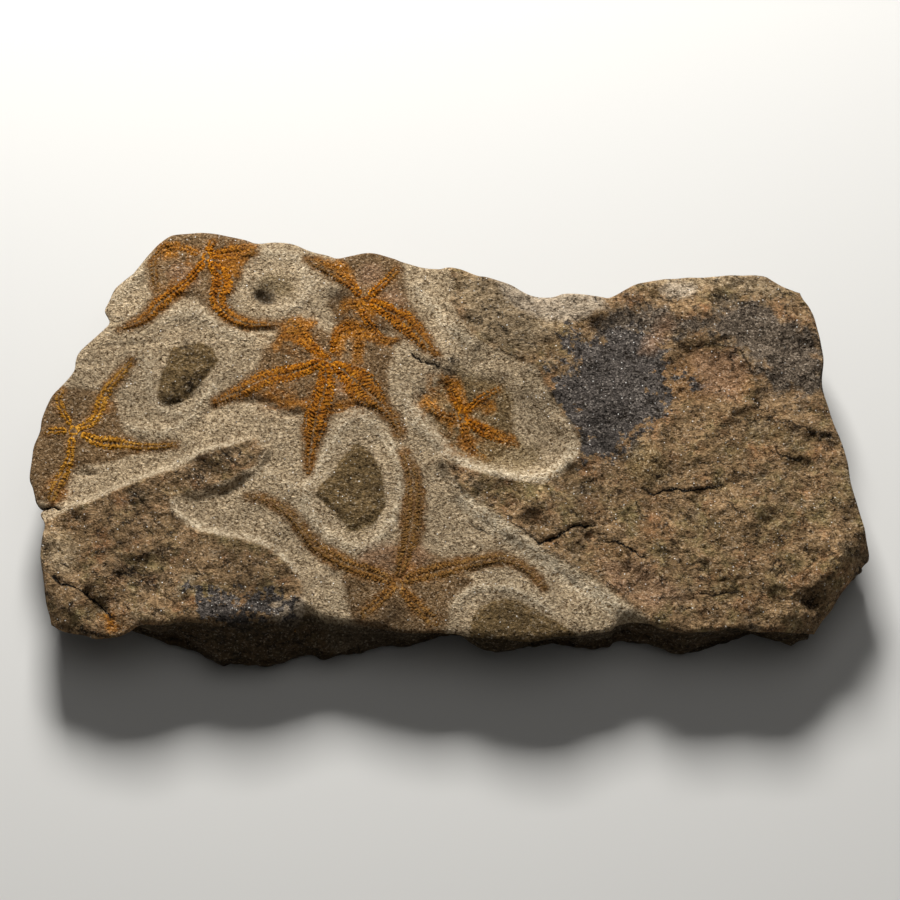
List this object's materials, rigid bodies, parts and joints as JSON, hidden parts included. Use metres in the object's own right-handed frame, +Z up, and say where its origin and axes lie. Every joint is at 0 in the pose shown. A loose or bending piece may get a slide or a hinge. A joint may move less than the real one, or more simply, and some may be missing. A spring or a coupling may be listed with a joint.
{
  "type": "fossil brittle star slab",
  "caption": "Thick sandstone slab lying on its flat underside, with iron-stained fossil brittle stars left on low mounds between pale hand-cut channels.",
  "frame": {"origin": "middle of the slab's bounding box, on the flat underside it lies on", "axes": "+X along the slab's length, +Y from the broken front side to the back edge, +Z up out of the face with the stars"},
  "size_m": [0.2392, 0.127, 0.0264],
  "materials": {
    "sandstone": "matt, rough broken and scribed ferruginous sandstone, pale where prepared",
    "fossil_iron_oxide": "matt orange iron oxide, granular",
    "fossil_ochre": "matt yellow ochre iron oxide, granular",
    "fossil_brown": "matt brown-orange iron oxide, granular"
  },
  "bodies": {
    "root": {"sandstone_slab": "sandstone", "brittle_star_top_left": "fossil_iron_oxide", "brittle_star_left": "fossil_ochre", "brittle_star_centre": "fossil_iron_oxide", "brittle_star_top": "fossil_iron_oxide", "brittle_star_right": "fossil_iron_oxide", "brittle_star_front": "fossil_brown"}
  },
  "joints": []
}
